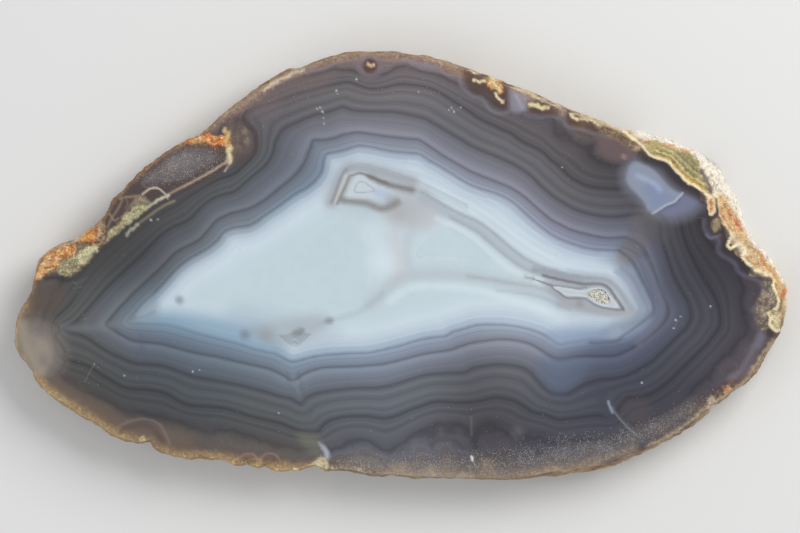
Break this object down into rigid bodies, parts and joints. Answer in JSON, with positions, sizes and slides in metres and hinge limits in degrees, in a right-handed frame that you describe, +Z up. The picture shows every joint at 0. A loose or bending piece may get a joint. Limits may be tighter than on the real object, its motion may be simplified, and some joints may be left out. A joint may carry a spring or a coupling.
{
  "type": "agate slice",
  "caption": "Natural agate slice with a polished banded face, a sawn back, a rough rind and a small crystal-lined hollow; it lies flat.",
  "frame": {"origin": "under the middle of the slice's box, on the surface that its sawn back lies on", "axes": "+X along the length towards the broken rind, +Y towards the arched side, +Z up out of the polished face"},
  "size_m": [0.1398, 0.0774, 0.009],
  "materials": {
    "agate": "polished banded chalcedony, grey outside to pale blue-white in the middle, with a rough cream and orange-brown rind",
    "quartz": "clear to greyish quartz crystals with bright flat faces"
  },
  "bodies": {
    "root": {"agate_slice": "agate", "quartz_crust": "quartz"}
  },
  "joints": []
}
